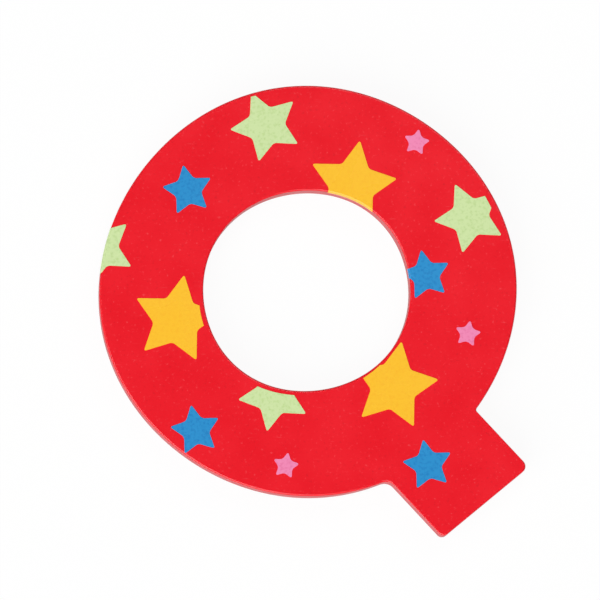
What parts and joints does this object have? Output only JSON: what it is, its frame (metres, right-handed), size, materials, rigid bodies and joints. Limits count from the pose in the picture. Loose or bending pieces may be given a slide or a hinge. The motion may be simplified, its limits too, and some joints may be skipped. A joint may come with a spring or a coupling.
{
  "type": "wooden letter",
  "caption": "Flat wooden letter Q for a nursery door or wall: plywood ring with a square-ended tail, painted red and printed with plain stars, bare flat back to stick or stand it on",
  "frame": {"origin": "under the middle of the letter's box, on the flat back that it lies on", "axes": "+X is the letter's right, +Y is its top, +Z is out of its printed front"},
  "size_m": [0.0716, 0.0758, 0.0066],
  "materials": {
    "birch": "sanded bare birch veneer",
    "red_paint": "satin red toy paint",
    "green_ink": "screen-printed pale green ink",
    "blue_ink": "screen-printed blue ink",
    "yellow_ink": "screen-printed yellow-orange ink",
    "pink_ink": "screen-printed pink ink"
  },
  "bodies": {
    "root": {"back_veneer": "birch", "back_crossband": "birch", "core_veneer": "birch", "front_crossband": "birch", "front_veneer": "birch", "red_paint_coat": "red_paint", "green_star_top": "green_ink", "green_star_right": "green_ink", "green_star_left": "green_ink", "green_star_bottom": "green_ink", "blue_star_upper_left": "blue_ink", "blue_star_right": "blue_ink", "blue_star_lower_left": "blue_ink", "blue_star_tail": "blue_ink", "yellow_star_top": "yellow_ink", "yellow_star_left": "yellow_ink", "yellow_star_lower_right": "yellow_ink", "pink_star_upper_right": "pink_ink", "pink_star_right": "pink_ink", "pink_star_bottom": "pink_ink"}
  },
  "joints": []
}
